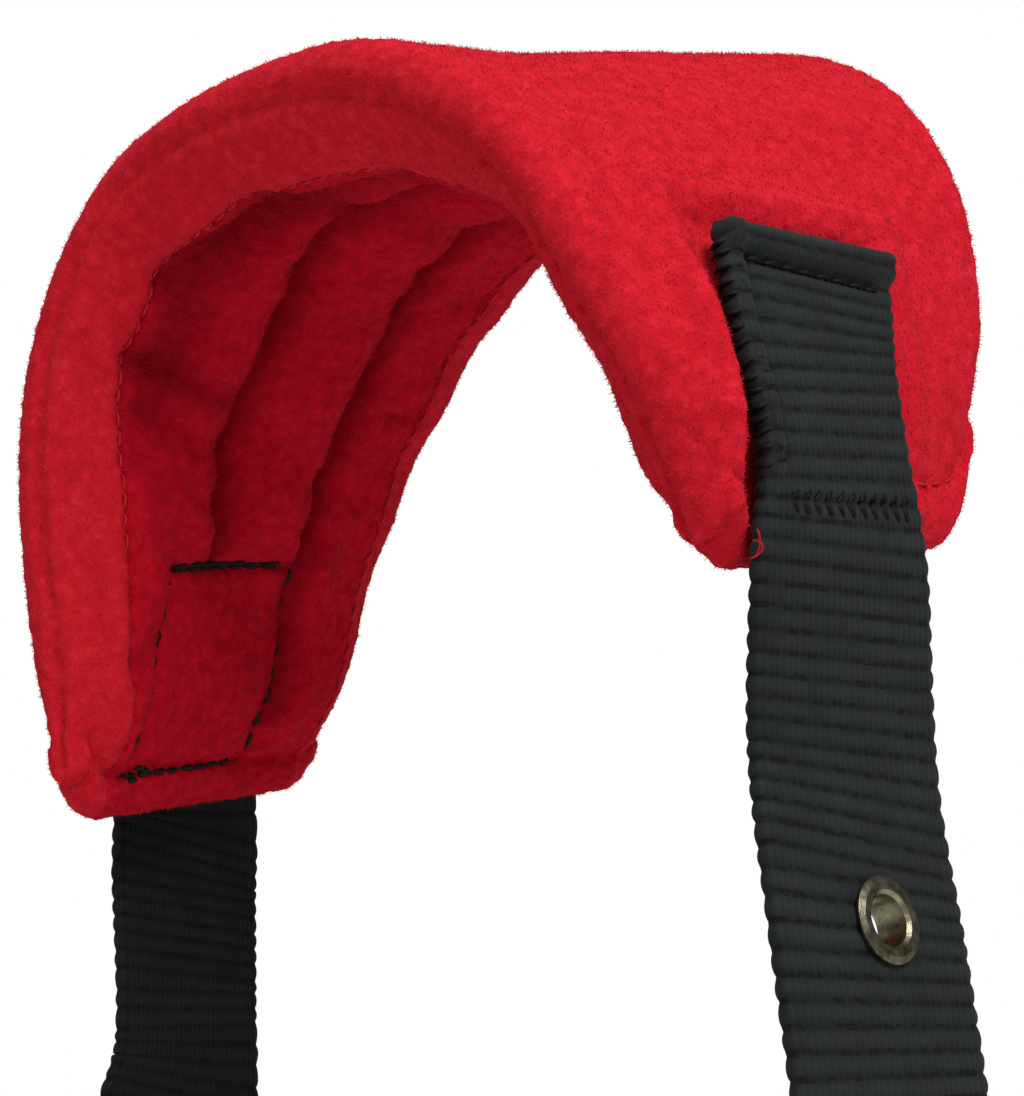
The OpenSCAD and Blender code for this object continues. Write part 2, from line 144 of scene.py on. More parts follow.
# ---------------------------------------------------------------- fleece of the crown band
# Brushed polyester fleece: matt, short curly pile that gathers in soft clumps of about 2 mm,
# sewn into a padded band. The cover is turned in round both long edges and hemmed at both ends.
NEAR = np.array([[-41.6, -23.6, 0.6], [-40.5, -26, 18], [-41, -29, 38], [-37, -30, 56], [-25, -30, 69.5],
                 [-4, -30, 74], [16, -30, 71], [32, -29.5, 61], [41, -28, 48], [47, -25, 36],
                 [50.6, -21.3, 22]], float)
FAR = np.array([[-53.5, 20.5, 5.5], [-52, 24, 22], [-46, 28, 42], [-36, 30, 58], [-22, 30, 71],
                [-2, 30, 79.5], [18, 30, 82.5], [33, 29, 78], [42.5, 28, 65], [45.9, 25.7, 49],
                [47.5, 23.5, 28.5]], float)


def curve(points, k):
    """Places k (0 to the last index) on the smooth curve through the points."""
    last = len(points) - 1
    k = np.asarray(k, float)
    i = np.clip(np.floor(k).astype(int), 0, last - 1)
    t = (k - i)[..., None]
    q = np.vstack([2 * points[0] - points[1], points, 2 * points[last] - points[last - 1]])
    a, b, c, d = q[i], q[i + 1], q[i + 2], q[i + 3]
    square, cube = 2 * a - 5 * b + 4 * c - d, 3 * b - a - 3 * c + d
    return 0.5 * (2 * b + (c - a) * t + square * t ** 2 + cube * t ** 3)


def unit(v):
    return v / np.maximum(np.linalg.norm(v, axis=-1, keepdims=True), 1e-9)


def middle(u, v):
    v = np.asarray(v, float)[..., None]
    return curve(NEAR, u * 10) * (1 - v) + curve(FAR, u * 10) * v


def band(u, v, h):
    """Millimetre places on the band: u along it, v across it, h out from its middle."""
    u, v, h = np.broadcast_arrays(np.asarray(u, float), np.asarray(v, float), np.asarray(h, float))
    a, b = np.clip(u - 0.004, 0, 1), np.clip(u + 0.004, 0, 1)
    normal = unit(np.cross(middle(b, v) - middle(a, v), curve(FAR, u * 10) - curve(NEAR, u * 10)))
    return middle(u, v) + normal * h[..., None]


def bent_grid(name, places, uv=None):
    """A grid of quads with its corners at places[row, column], in millimetres; ends that meet are welded."""
    rows, columns = places.shape[:2]
    bpy.ops.object.select_all(action="DESELECT")
    bpy.ops.mesh.primitive_grid_add(x_subdivisions=columns - 1, y_subdivisions=rows - 1, size=1)
    piece = bpy.context.object
    piece.name = piece.data.name = name
    piece.data.vertices.foreach_set("co", (places * 0.001).astype(np.float32).ravel())
    if uv is not None:
        corner = np.zeros(len(piece.data.loops), int)
        piece.data.loops.foreach_get("vertex_index", corner)
        piece.data.uv_layers[0].data.foreach_set("uv", uv.reshape(-1, 2)[corner].astype(np.float32).ravel())
    piece.data.update()
    bpy.ops.object.mode_set(mode="EDIT")
    bpy.ops.mesh.select_all(action="SELECT")
    bpy.ops.mesh.remove_doubles(threshold=2e-6)
    bpy.ops.mesh.normals_make_consistent(inside=False)
    bpy.ops.object.mode_set(mode="OBJECT")
    bpy.ops.object.shade_smooth()
    return piece


def clumps(piece, size, height, basis="ORIGINAL_PERLIN"):
    """Raises and lowers the surface in soft lumps of this size, both in millimetres."""
    texture = bpy.data.textures.new(piece.name + "_clumps", "CLOUDS")
    texture.noise_scale = size * 0.001
    texture.noise_depth = 1
    texture.noise_basis = basis
    lumps = piece.modifiers.new("clumps", "DISPLACE")
    lumps.texture = texture
    lumps.texture_coords = "LOCAL"
    lumps.strength = height * 0.001
    lumps.mid_level = 0.5
    bpy.ops.object.select_all(action="DESELECT")
    bpy.context.view_layer.objects.active = piece
    piece.select_set(True)
    bpy.ops.object.modifier_apply(modifier="clumps")


def smooth(x, low, high):
    t = np.clip((x - low) / (high - low), 0, 1)
    return t * t * (3 - 2 * t)


def away(u, v, line):
    """Distance in millimetres from (u, v) to a line of (u, v) points on the band."""
    p = np.stack([u * 178, v * 60], -1)
    q = np.array(line, float) * [178, 60]
    best = np.full(u.shape, 1e9)
    for a, b in zip(q[:-1], q[1:]):
        t = np.clip(((p - a) @ (b - a)) / max((b - a) @ (b - a), 1e-9), 0, 1)
        best = np.minimum(best, np.linalg.norm(p - a - t[..., None] * (b - a), axis=-1))
    return best


def half_thickness(u):
    """Half the band's thickness: a rolled hem at each end, a stitched dip, then the full foam."""
    d = np.minimum(u, 1 - u) * 178
    roll = 2.9 * np.sqrt(np.clip(1 - ((3.2 - np.minimum(d, 3.2)) / 3.2) ** 2, 0, 1))
    full = 2.9 + 1.6 * smooth(d, 6, 15)
    return np.where(d < 3.2, roll, full) - 0.7 * np.exp(-((d - 5.6) / 1.0) ** 2)


def corner_cut(u, v):
    """u with the band's four corners rounded off."""
    def cut(radius, edge):
        d = np.clip(radius - edge, 0, radius)
        return (radius - np.sqrt(np.clip(radius ** 2 - d ** 2, 0, None))) / 178
    near_edge = (np.clip(v, 0.055, 0.945) - 0.055) * 60
    far_edge = (0.945 - np.clip(v, 0.055, 0.945)) * 60
    left = cut(4.5, near_edge) + cut(2.5, far_edge)
    right = cut(3.0, near_edge) + cut(6.0, far_edge)
    return left + u * (1 - left - right)


def undulation(places, size, height, seed):
    """Slow waves of noise, as an offset in millimetres for each place."""
    flat = places.reshape(-1, 3) / size
    heights = [noise.noise(Vector(p) + Vector((seed, 0, 0))) for p in flat]
    return height * np.array(heights).reshape(places.shape[:2])


# Outer face: the strap ends press into the cloth, and it swells up along their edges.
def outer_relief(u, v):
    lift = np.zeros_like(u)
    right_leg = ([0.775, 0.86, 0.93, 1.0], [0.24, 0.17, 0.115, 0.07], [0.635, 0.635, 0.63, 0.63])
    left_leg = ([0.0, 0.06, 0.12, 0.19], [0.25, 0.27, 0.29, 0.31], [0.83, 0.80, 0.78, 0.77])
    for line_u, near_v, far_v in (right_leg, left_leg):
        start = line_u[0] if line_u[0] > 0.5 else line_u[-1]
        across_near = (np.interp(u, line_u, near_v) - v) * 60
        across_far = (v - np.interp(u, line_u, far_v)) * 60
        tip = 0.055 * (v - 0.2) / 0.44 if start > 0.5 else -0.01 * (v - 0.3) / 0.47
        beyond = (start + tip - u) * 178 if start > 0.5 else (u - start - tip) * 178
        off = np.maximum(np.maximum(across_near, across_far), beyond)
        swell = 1.5 + 1.5 * (start > 0.5) * (across_near > 0) * smooth(u, 0.80, 0.86)
        lift += swell * np.exp(-((off - 2.6) / 2.4) ** 2) * (off > -0.8) - 0.6 * smooth(-off, 0.0, 1.5)
    return lift


# Inner face: two sewn rows leave three puffy channels, the strap's box stitch holds the cloth
# flat at the bottom of the left leg, and the cloth creases where the band bends most.
rim = 0.118
seam_near = [(0.165, 0.408), (0.242, 0.392), (0.33, 0.425), (0.438, 0.385), (0.6, 0.39), (0.97, 0.40)]
seam_far = [(0.035, 0.65), (0.06, 0.642), (0.118, 0.667), (0.163, 0.655), (0.193, 0.675), (0.328, 0.70),
            (0.46, 0.655), (0.6, 0.68), (0.97, 0.69)]
box_top = [(0.155, 0.275), (0.160, 0.45), (0.163, 0.655)]
box_left = [(0.150, 0.275), (0.1, 0.225), (0.04, 0.17)]
box_foot = [(0.027, 0.158), (0.028, 0.40), (0.030, 0.64)]
creases = [([(0.26, 0.185), (0.36, 0.20), (0.45, 0.215), (0.60, 0.22)], 2.8, 4.2),
           ([(0.295, 0.13), (0.292, 0.22), (0.28, 0.342)], 1.5, 2.2),
           ([(0.365, 0.13), (0.398, 0.16), (0.435, 0.20), (0.458, 0.325)], 2.0, 2.6),
           ([(0.47, 0.14), (0.47, 0.4), (0.475, 0.8)], 1.6, 3.0),
           ([(0.225, 0.13), (0.215, 0.22)], 0.8, 1.8), ([(0.10, 0.125), (0.115, 0.19)], 0.9, 1.8),
           ([(0.35, 0.45), (0.36, 0.60)], 0.8, 2.2), ([(0.25, 0.45), (0.245, 0.56)], 0.5, 1.8),
           ([(0.37, 0.72), (0.39, 0.86)], 0.9, 2.2), ([(0.28, 0.72), (0.285, 0.85)], 0.6, 2.0)]


def painted_seam_shade(u, v):
    """How much painted shade darkens the fleece, 0 to 1, along the seams and creases."""
    seams = np.minimum(away(u, v, seam_near), away(u, v, seam_far)) + 40 * smooth(np.abs(u - 0.5), 0.44, 0.47)
    amount = 0.75 * np.exp(-(seams / 1.9) ** 2)
    for line, depth, width in creases:
        amount = amount + 0.26 * depth * np.exp(-(away(u, v, line) / width) ** 2)
    return np.clip(amount, 0, 1)


def inner_relief(u, v):
    edge = np.minimum(v - 0.03, 0.97 - v).clip(0, None) * 60
    seams = np.minimum(away(u, v, seam_near), away(u, v, seam_far))
    box = np.minimum(away(u, v, box_top), away(u, v, box_left))
    box = np.minimum(box, away(u, v, box_foot))
    end = (np.minimum(u, 1 - u) * 178 - 5.6).clip(0, None) + 0.4
    d = np.minimum(np.minimum(seams, box), end)
    full = 5.6 - 3.0 * smooth(v, 0.68, 0.82)
    rim_groove = np.exp(-((np.minimum(v, 1 - v) - rim) * 60 / 0.9) ** 2)
    puff = full * (1 - np.exp(-d / 3.0)) * (1 - np.exp(-edge / 4.2)) - 0.4 * smooth(u, 0.22, 0.3) * rim_groove
    left_v = np.interp(u, [0.04, 0.1, 0.15], [0.17, 0.225, 0.275])
    within = smooth(0.160 - u, 0, 0.01) * smooth(u, 0.026, 0.034)
    within = within * smooth(v - left_v, 0, 0.02) * smooth(0.65 - v, 0, 0.02)
    puff = puff * (1 - within) + within * 1.3 * (1 - np.exp(-d / 1.3))
    ripple = np.sin(u * 178 * 2 * math.pi / 11 + 2.5 * np.sin(u * 31) + 9 * v)
    puff += 0.5 * ripple * np.exp(-seams / 6) * (1 - within)
    for line, depth, width in creases:
        puff -= depth * np.exp(-(away(u, v, line) / width) ** 2)
    return puff


hem_u = np.linspace(0, 0.03, 18)
rows_u = np.concatenate([hem_u[:-1], np.linspace(0.03, 0.97, 300), np.linspace(0.97, 1, 18)[1:]])
outer_v = np.linspace(0.055, 0.945, 118)
side = np.linspace(0, math.pi, 20)[1:-1]
section = []   # (v, h as a share of the half thickness, how far inside in mm, is it outer)
section += [(rim + 0.004, -1, 2.2), (rim, -1, 1.1), (rim - 0.006, -1, 0.35)]
section += [(v, -1, 0) for v in np.linspace(0.098, 0.055, 6)]
section += [(0.055 - 0.055 * math.sin(a), -math.cos(a), 0) for a in side]
section += [(v, 1, 0) for v in outer_v]
section += [(0.945 + 0.055 * math.sin(a), math.cos(a), 0) for a in side]
section += [(v, -1, 0) for v in np.linspace(0.945, 0.902, 6)]
section += [(1 - rim + 0.006, -1, 0.35), (1 - rim, -1, 1.1), (1 - rim - 0.004, -1, 2.2)]
section += [(0.93, -1, 2.4), (0.955, 0, 1.6), (0.93, 1, 1.8)]
section += [(v, 1, 1.8) for v in np.linspace(0.85, 0.15, 9)]
section += [(0.07, 1, 1.8), (0.045, 0, 1.6), (0.07, -1, 2.4)]
section.append(section[0])
section = np.array(section)
U, V = np.meshgrid(rows_u, section[:, 0], indexing="ij")
share, inside = section[None, :, 1], section[None, :, 2]
T = half_thickness(U) * (1 - 0.5 * smooth(U, 0.60, 0.74) * (share < 0))
is_outer = (share > 0.2) * (inside == 0)
groove = 0.9 * np.exp(-((share + 0.15) / 0.22) ** 2) * (inside == 0) * (V < 0.06)
H = np.sign(share) * np.maximum(np.abs(share) * T - inside * np.minimum(T / 4.5, 1), 0)
H = H + is_outer * outer_relief(U, V) * smooth(np.minimum(U, 1 - U), 0, 0.015)
turned_in = np.clip(-share, 0, 1) ** 2 * (inside < 1) * smooth(np.minimum(U, 1 - U) * 178, 2.0, 7.0)
H = H - turned_in * inner_relief(U, V)
middle_places = band(U, np.clip(V, 0, 1), 0)
outer_waves = undulation(middle_places, 17.0, 0.9, 3.0)
inner_waves = -undulation(middle_places, 12.0, 1.1, 11.0)
waves = np.where(share > 0, outer_waves, inner_waves)
H = H + waves * np.abs(share).clip(0, 1) * (inside < 1) * smooth(T, 0.3, 2.0)
places = band(corner_cut(U, V), V + groove / 60, H)
# The UV map carries the painted shade along the seams and creases of the turned-in cover.
shaded = painted_seam_shade(U, V) * (share < 0) * (inside < 1)
cover = bent_grid("pad_cover_fleece", places, np.stack([shaded, shaded], -1))
clumps(cover, 1.5, -0.32, "VORONOI_F1")
clumps(cover, 0.9, 0.5)


def fleece(name, deep, mid, light, sheen, nap):
    m = Material(name, Roughness=0.95, Sheen_Weight=sheen, Sheen_Roughness=0.5,
                 Sheen_Tint=colour("FF5058"), Specular_IOR_Level=0.06)
    place = m.add("ShaderNodeTexCoord").outputs["Object"]
    drift = m.add("ShaderNodeTexNoise", Vector=place, Scale=700.0, Detail=2.0)
    moved = m.add("ShaderNodeVectorMath", {0: drift.outputs["Color"], 1: (0.0009, 0.0009, 0.0009), 2: place},
                  operation="MULTIPLY_ADD").outputs[0]
    pebbles = m.add("ShaderNodeTexVoronoi", Vector=moved, feature="SMOOTH_F1", Scale=620.0, Smoothness=0.6)
    fine = m.add("ShaderNodeTexNoise", Vector=place, Scale=2200.0, Detail=3.0, Roughness=0.7)
    worn = m.add("ShaderNodeTexNoise", Vector=place, Scale=45.0, Detail=2.0)
    pebble = m.maths("SUBTRACT", 1.0, pebbles.outputs["Distance"])
    # The colour is lighter on the raised pebbles and fine pile, the same fields that drive the bumps, and
    # darker in their hollows: painted light and shade. The large worn noise is random tone.
    mixed = m.maths("MULTIPLY_ADD", fine.outputs["Fac"], 0.40, m.maths("MULTIPLY", pebble, 0.28))
    shade = m.maths("MULTIPLY_ADD", worn.outputs["Fac"], 0.14, m.maths("SUBTRACT", mixed, 0.07))
    cloth = m.ramp(shade, [(0.24, deep), (0.37, mid), (0.50, light)])
    # Painted shade: where the UV map holds the seam and crease amount, the colour is mixed towards a darker,
    # deeper red.
    painted_shade_mask = m.add("ShaderNodeSeparateXYZ", Vector=m.add("ShaderNodeTexCoord").outputs["UV"]).outputs[0]
    shaded_colour = m.add("ShaderNodeVectorMath", {0: cloth, 1: (0.45, 0.38, 0.45)}, operation="MULTIPLY").outputs[0]
    m.set(m.shader, "Base Color", m.add("ShaderNodeMix", {0: painted_shade_mask, 6: cloth, 7: shaded_colour},
                                        data_type="RGBA").outputs[2])
    coarse = m.add("ShaderNodeBump", Strength=nap, Distance=0.0006, Height=pebble)
    pile = m.add("ShaderNodeBump", Strength=0.7, Distance=0.00025, Height=fine.outputs["Fac"],
                 Normal=coarse.outputs[0])
    m.set(m.shader, "Normal", pile.outputs[0])
    return m


cover_cloth = fleece("red_fleece", "BE1626", "CC1C2C", "D82636", 0.14, 0.28)
cover.data.materials.append(cover_cloth.data)
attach(cover, "halter")
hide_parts("pad_cover")

# ---------------------------------------------------------------- lining
# The same fleece inside, sewn through in two rows, and sewn to the turned-in edges all round.
# Between it and the cover lie the foam strips, which it stands for here.
inner_v = np.linspace(rim + 0.002, 1 - rim - 0.002, 104)
section = [(rim - 0.01, 2.6), (rim - 0.008, 1.6), (rim - 0.004, 0.8)]
section += [(v, 0) for v in inner_v]
section += [(1 - rim + 0.004, 0.8), (1 - rim + 0.008, 1.6), (1 - rim + 0.01, 2.6)]
section += [(v, 2.8) for v in np.linspace(1 - rim - 0.04, rim + 0.04, 9)]
section.append(section[0])
section = np.array(section)
U, V = np.meshgrid(rows_u, section[:, 0], indexing="ij")
inside = section[None, :, 1]
T = half_thickness(U) * (1 - 0.5 * smooth(U, 0.60, 0.74))
relief = inner_relief(U, V) * (inside < 1) * smooth(np.minimum(U, 1 - U) * 178, 2.0, 7.0)
H = -np.maximum(T - 0.1 + relief - inside * np.minimum(T / 4.5, 1), 0)
waves = undulation(band(U, V, 0), 12.0, 1.1, 11.0) * (inside < 1) * smooth(T, 0.3, 2.0)
places = band(corner_cut(U, V), V, H - waves)
# The UV map carries the painted shade along the seams and creases of the lining.
shaded = painted_seam_shade(U, V) * (inside < 1)
lining = bent_grid("pad_lining_fleece", places, np.stack([shaded, shaded], -1))
clumps(lining, 1.6, -0.5, "VORONOI_F1")
clumps(lining, 0.9, 0.7)
# A darker copy of the cover's fleece colours: painted shade for the inside of the band, which is the same
# cloth.
shaded_lining_cloth = fleece("red_lining", "AC081E", "BE0C24", "CA142C", 0.04, 0.42)
lining.data.materials.append(shaded_lining_cloth.data)
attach(lining, "halter")
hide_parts("pad_lining", "foam_near", "foam_middle", "foam_far")

# ---------------------------------------------------------------- pile on the fleece
# Single fibres that stand out of the brushed cloth and blur its outline: each is a bent sliver,
# rooted just under the cloth. They lie closer and shorter in the second layer on the cover.
def pile(name, cloth, count, length, seed, codes):
    mesh = cloth.data
    mesh.calc_loop_triangles()
    corners = np.zeros(len(mesh.loop_triangles) * 3, int)
    mesh.loop_triangles.foreach_get("vertices", corners)
    points = np.zeros(len(mesh.vertices) * 3)
    mesh.vertices.foreach_get("co", points)
    a, b, c = (points.reshape(-1, 3)[corners.reshape(-1, 3)[:, i]] for i in range(3))
    normal = np.cross(b - a, c - a)
    area = np.linalg.norm(normal, axis=1)
    rng = np.random.default_rng(seed)
    pick = rng.choice(len(area), count, p=area / area.sum())
    s, t = rng.random(count), rng.random(count)
    s, t = np.where(s + t > 1, 1 - s, s)[:, None], np.where(s + t > 1, 1 - t, t)[:, None]
    root = a[pick] + (b - a)[pick] * s + (c - a)[pick] * t
    n = unit(normal[pick])
    lean = unit(np.cross(n, rng.normal(size=(count, 3))))
    wide = unit(np.cross(n, lean)) * 0.000032
    size = length * 0.001 * (0.5 + rng.random((count, 1)))
    knee = root + n * size * 0.5 + lean * size * 0.2
    tip = knee + (n * (rng.random((count, 1)) * 0.5 - 0.2) + lean * 0.8) * size * 0.7
    root = root - n * 0.0001
    corners = np.stack([root - wide, root + wide, knee + wide, knee - wide, tip], 1).reshape(-1, 3)
    first = np.arange(count)[:, None] * 5
    faces = [tuple(f) for f in np.hstack([first, first + 1, first + 2, first + 3]).tolist()]
    faces += [tuple(f) for f in np.hstack([first + 3, first + 2, first + 4]).tolist()]
    fibres = bpy.data.meshes.new(name)
    fibres.from_pydata(corners.tolist(), [], faces)
    piece = bpy.data.objects.new(name, fibres)
    scene.collection.objects.link(piece)
    m = Material(name + "_fibre", Roughness=0.8, Specular_IOR_Level=0.2)
    place = m.add("ShaderNodeTexCoord").outputs["Object"]
    tone = m.add("ShaderNodeTexNoise", Vector=place, Scale=900.0, Detail=1.0)
    m.set(m.shader, "Base Color", m.ramp(tone.outputs["Fac"], [(0.35, codes[0]), (0.65, codes[1])]))
    piece.data.materials.append(m.data)
    return piece


for name, cloth, count, length, seed, codes, slot in (
        ("pad_cover_pile", cover, 66000, 0.42, 5, ("BC1422", "D82A36"), "red_fleece"),
        ("pad_cover_nap", cover, 66000, 0.34, 7, ("B41220", "D02430"), "red_fleece"),
        # The lining's fibres take darker copies of the fibre colours: painted shade.
        ("pad_lining_pile", lining, 66000, 0.40, 6, ("B00C1E", "C8182A"), "red_lining")):
    tufts = pile(name, cloth, count, length, seed, codes)
    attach(tufts, "halter")

# ---------------------------------------------------------------- neck webbing
# Ribbed nylon webbing, 25 mm wide: cross ribs 2 mm apart made of fine warp yarns that float over
# a thick weft, which scallops both edges. Sewn to the band, round the buckle bar and under the throat.
RUN = math.radians(50)
WEB_W, WEB_T, RIB = 25.0, 1.8, 2.04


def in_run(x, z):
    """Places on the buckle's straight run: x from the tongue bar to the roller, z towards the neck."""
    return [-27 + x * math.cos(RUN) + z * math.sin(RUN), 0, -66 - x * math.sin(RUN) + z * math.cos(RUN)]


def on_band(near, far, lift=0.0):
    p, q = band(near[0], near[1], 5.7 + lift), band(far[0], far[1], 5.7 + lift)
    return ((p + q) / 2).tolist(), unit(q - p).tolist()


def stations(mids, dirs, per):
    k = np.arange((len(mids) - 1) * per + 1) / per
    return curve(np.array(mids, float), k), curve(np.array(dirs, float), k)


def webbing(name, mids, dirs, width, thick, samples, tip=0.0, squeeze=None):
    """Ribbed strap along the stations, with its length in v and its width in u of the UV map."""
    length = np.concatenate([[0], np.cumsum(np.linalg.norm(np.diff(mids, axis=0), axis=1))])
    count = int(length[-1] / RIB * 5.3)
    s = np.linspace(0, length[-1], count)
    mid = np.stack([np.interp(s, length, mids[:, i]) for i in range(3)], 1)
    for _ in range(4):
        mid[1:-1] = (mid[:-2] + 2 * mid[1:-1] + mid[2:]) / 4
    cross = np.stack([np.interp(s, length, dirs[:, i]) for i in range(3)], 1)
    heading = unit(np.gradient(mid, axis=0))
    normal = unit(np.cross(heading, unit(cross)))
    across = unit(np.cross(normal, heading))
    half = width / 2
    flat = np.linspace(-1, 1, samples)
    turn = np.linspace(math.pi / 2, -math.pi / 2, 7)[1:-1]
    ring = [(x * (half - 0.75), 1.0) for x in flat]
    ring += [(half - 0.75 + 0.75 * math.cos(a), math.sin(a)) for a in turn]
    ring += [(x * (half - 0.75), -1.0) for x in flat[::-1]]
    ring += [(-half + 0.75 - 0.75 * math.cos(a), -math.sin(a)) for a in turn]
    ring.append(ring[0])
    ring = np.array(ring)
    x = np.repeat(ring[None, :, 0], len(s), 0)
    wobble = 0.10 * np.sin(x * 1.7 + np.sin(s * 0.9)[:, None] * 2) + 0.05 * np.sin(x * 7.3)
    rib = np.abs(np.sin(math.pi * (s[:, None] + wobble) / RIB)) ** 0.65
    dip = 0.24 * (1 - rib)
    h = ring[None, :, 1] * (thick / 2 + 0.06 - dip)
    x = x * (1 - 0.26 * (1 - rib) / half * (np.abs(x) > half - 0.8))
    if tip:
        reach = np.clip((length[-1] - s) / tip, 0, 1)[:, None]
        x = x * (0.45 + 0.55 * reach ** 0.5)
    slide = np.zeros_like(x)
    if squeeze is not None:
        x, h, slide = squeeze(s[:, None], x, h, ring[None, :, 1])
    ends = np.ones(len(s))
    ends[[0, -1]] = 0
    h = h * ends[:, None]
    x[0], x[-1] = x[1], x[-2]
    places = mid[:, None] + across[:, None] * x[..., None] + normal[:, None] * h[..., None]
    places = places + heading[:, None] * slide[..., None]
    uv = np.stack([x / 10, np.repeat(s[:, None], x.shape[1], 1) / 10], -1)
    return bent_grid(name, places, uv), mid, across, normal, s


def nylon(name, dark, light, grey):
    m = Material(name, Roughness=0.75, Sheen_Weight=0.06, Sheen_Roughness=0.4, Specular_IOR_Level=0.18)
    uv = m.add("ShaderNodeTexCoord").outputs["UV"]
    part = m.add("ShaderNodeSeparateXYZ", Vector=uv)
    across_mm = m.maths("MULTIPLY", part.outputs[0], 10.0)
    along_mm = m.maths("MULTIPLY", part.outputs[1], 10.0)
    yarn = m.maths("ABSOLUTE", m.maths("SINE", m.maths("MULTIPLY", across_mm, math.pi / 0.84)))
    strand = m.maths("ABSOLUTE", m.maths("SINE", m.maths("MULTIPLY_ADD", across_mm, math.pi / 0.21,
                                                          m.maths("MULTIPLY", along_mm, 1.1))))
    rib = m.maths("ABSOLUTE", m.maths("SINE", m.maths("MULTIPLY", along_mm, math.pi / RIB)))
    object_place = m.add("ShaderNodeTexCoord").outputs["Object"]
    worn = m.add("ShaderNodeTexNoise", Vector=object_place, Scale=160.0, Detail=4.0, Roughness=0.6)
    gaps = m.add("ShaderNodeTexNoise", Vector=object_place, Scale=700.0, Detail=2.0, Roughness=0.6)
    fuzz = m.add("ShaderNodeTexNoise", Vector=object_place, Scale=2600.0, Detail=2.0)
    patchy = m.maths("GREATER_THAN", gaps.outputs["Fac"], 0.52)
    dash = m.maths("MULTIPLY", m.maths("LESS_THAN", rib, 0.42), patchy)
    # The colour is darker in the valleys between the ribs and between the yarns, where the relief and bumps
    # sink, and in dark patches along the rib valleys: painted shade. The worn noise is random tone.
    tone = m.maths("MULTIPLY", m.maths("POWER", rib, 0.6), m.maths("MULTIPLY_ADD", yarn, 0.25, 0.75))
    tone = m.maths("MULTIPLY_ADD", worn.outputs["Fac"], 0.45, m.maths("MULTIPLY_ADD", tone, 0.45, -0.05))
    tone = m.maths("MULTIPLY_ADD", dash, -0.45, tone)
    m.set(m.shader, "Base Color", m.ramp(tone, [(0.08, dark), (0.5, light), (0.85, grey)]))
    height = m.maths("MULTIPLY_ADD", yarn, 0.6, m.maths("MULTIPLY", strand, 0.25))
    height = m.maths("MULTIPLY_ADD", fuzz.outputs["Fac"], 0.4, height)
    bump = m.add("ShaderNodeBump", Strength=0.6, Distance=0.00016, Height=height)
    m.set(m.shader, "Normal", bump.outputs[0])
    return m


black_nylon = nylon("black_nylon", "010202", "0B1010", "1C2222")
# The strap with the holes gets a lighter copy of the black nylon colours.
lighter_nylon = nylon("lighter_black_nylon", "060707", "1A1E1E", "2C3030")

slack = 1.1
fold_r, layer = 1.5 + 0.15 + 0.9, 0.9 + 0.075
under_z, tail_z = -(fold_r + 1.8 + 0.15) * slack, -(layer + 1.8 + 0.15)
roller_z = (2.6 + 0.15 + 0.9) * slack
left_pad = [on_band((0.185, 0.31), (0.175, 0.77), 0.2), on_band((0.12, 0.295), (0.12, 0.79), 0.5),
            on_band((0.06, 0.31), (0.06, 0.84), 1.3)]
fold = [in_run(fold_r * math.cos(math.radians(a)), fold_r * math.sin(math.radians(a)))
        for a in range(75, -76, -30)]
left_mids = [p for p, _ in left_pad] + [[-56.2, 5, 4], [-54.6, 3.8, -6], [-52, 2.5, -19], [-51.2, 2.0, -28]]
left_mids += [in_run(-36, layer), in_run(-21.6, layer), in_run(-9, layer), in_run(-2.6, fold_r * 0.9)]
left_mids += fold
left_mids += [in_run(-2.6, -fold_r * 0.9), in_run(-9, -layer), in_run(-21.6, -layer), in_run(-34, -layer)]
left_dirs = [d for _, d in left_pad] + [[-0.18, 1, 0.03], [-0.18, 1, 0], [-0.22, 1, 0], [-0.18, 1, 0]]
left_dirs += [[0, 1, 0]] * (len(left_mids) - 7)
mids, dirs = stations(left_mids, left_dirs, 3)
left_strap, *_ = webbing("strap_buckle_webbing", mids, dirs, WEB_W, WEB_T, 52)

right_pad = [on_band((0.810, 0.245), (0.834, 0.660), 0.1), on_band((0.868, 0.165), (0.90, 0.63), 0.0),
             on_band((0.93, 0.11), (0.95, 0.63), -0.1), on_band((1, 0.075), (1, 0.655))]
right_pad = [(p, (unit(np.array(d) + [-0.04, 0, 0])).tolist()) for p, d in right_pad]
right_pad[3] = ((np.array(right_pad[3][0]) + [-1.0, -0.9, 0]).tolist(), [0.0, 1, 0.04])
low_z = in_run(22, roller_z)[2] - 7.6
right_mids = [p for p, _ in right_pad]
right_mids += [[54.4, -6.1, 6], [58.6, -8.5, -10], [62, -9.6, -28], [62, -9.2, -46], [56, -7.4, -62]]
right_mids += [[44, -4.6, -75], [29, -1.8, low_z * 0.72 - 75 * 0.28], [17, 0, low_z + 0.3], [8, 0, low_z + 0.3]]
right_mids += [in_run(22, roller_z), in_run(11, (under_z + roller_z) / 2), in_run(0, under_z)]
right_mids += [in_run(-8.5, tail_z), in_run(-21.6, tail_z), in_run(-36, tail_z), in_run(-42, tail_z + 0.9)]
right_dirs = [d for _, d in right_pad] + [[0.06, 1, -0.10], [0.08, 1, -0.12], [0.06, 1, -0.10], [0.04, 1, 0],
              [0.02, 1, 0.08], [0, 1, 0.1], [0, 1, 0.05]] + [[0, 1, 0]] * 9
mids, dirs = stations(right_mids, right_dirs, 6)


